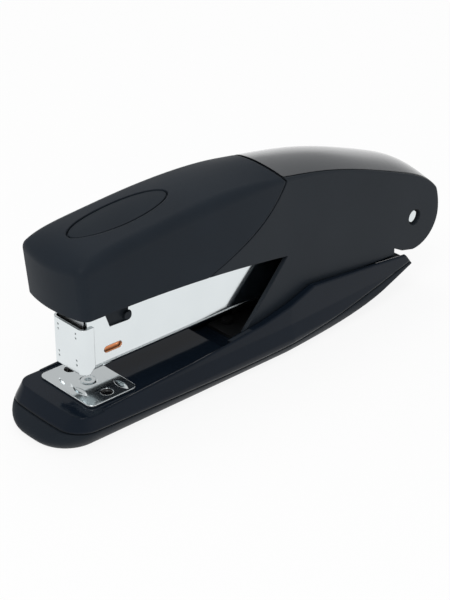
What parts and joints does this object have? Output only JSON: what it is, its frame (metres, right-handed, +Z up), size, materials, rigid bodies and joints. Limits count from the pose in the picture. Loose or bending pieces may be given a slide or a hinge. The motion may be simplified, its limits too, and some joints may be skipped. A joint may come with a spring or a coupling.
{
  "type": "desk stapler",
  "caption": "Full-strip desk stapler: black handle and base, bright magazine, reversible anvil. It drives a standard staple through paper and opens for loading.",
  "frame": {"origin": "on the flat rest face of the sole, on the middle plane, near the middle of the length", "axes": "+X towards the pivot at the rear, +Y to the right seen from the rear, +Z up"},
  "size_m": [0.1837, 0.0384, 0.071],
  "materials": {
    "gloss_black": "glossy black moulding",
    "satin_black": "satin black moulding",
    "soft_black": "soft-touch blue-black coat",
    "sole_rubber": "matte dark grey",
    "bright_chrome": "polished plating",
    "steel": "zinc-plated sheet and wire",
    "black_steel": "blackened sheet and screws",
    "copper_wire": "copper-coloured staple wire"
  },
  "bodies": {
    "base": {"base_shell": "gloss_black", "rubber_sole": "sole_rubber", "base_bracket": "black_steel", "bracket_screws": "black_steel", "pivot_pin": "bright_chrome", "pivot_washers": "steel", "lift_spring": "black_steel", "spring_rivet": "black_steel", "anvil_spring": "steel"},
    "anvil_post": {"anvil_stem": "bright_chrome", "anvil_button": "satin_black"},
    "anvil": {"anvil_plate": "bright_chrome"},
    "magazine": {"magazine_channel": "bright_chrome", "nose_plate": "bright_chrome", "staple_rail": "steel", "staple_strip": "copper_wire", "guide_rod": "steel", "rod_stops": "steel", "rail_rivets": "steel", "nose_block": "satin_black", "handle_spring": "steel", "pusher_spring": "steel"},
    "pusher": {"pusher": "satin_black"},
    "handle": {"handle_frame": "steel", "driver_blade": "steel", "driver_rivets": "steel", "front_grip": "soft_black", "badge_inlay": "satin_black", "rear_cover": "satin_black", "rear_top_panel": "satin_black", "cover_screws": "steel"}
  },
  "joints": [
    {"name": "magazine_hinge", "type": "hinge", "parent": "base", "child": "magazine", "pos_m": [0.08, 0, 0.0304], "axis": [0, 1, 0], "range_deg": [-2.5, 30], "stiffness_Nm_per_rad": 3, "springref_deg": 2.64, "deforming": ["lift_spring"]},
    {"name": "handle_hinge", "type": "hinge", "parent": "magazine", "child": "handle", "pos_m": [0.08, 0, 0.0304], "axis": [0, 1, 0], "range_deg": [-3.2, 70], "stiffness_Nm_per_rad": 4, "springref_deg": 0.86, "deforming": ["handle_spring"]},
    {"name": "pusher_slide", "type": "slide", "parent": "magazine", "child": "pusher", "axis": [1, 0, 0], "range_m": [0, 0.045], "stiffness_N_per_m": 40, "springref_m": -0.06, "deforming": ["pusher_spring"]},
    {"name": "anvil_lift", "type": "slide", "parent": "base", "child": "anvil_post", "axis": [0, 0, 1], "range_m": [0, 0.0008], "stiffness_N_per_m": 800, "springref_m": -0.003, "deforming": ["anvil_spring"]},
    {"name": "anvil_turn", "type": "hinge", "parent": "anvil_post", "child": "anvil", "pos_m": [-0.065, 0, 0.0116], "axis": [0, 0, 1], "range_deg": [0, 180]}
  ]
}
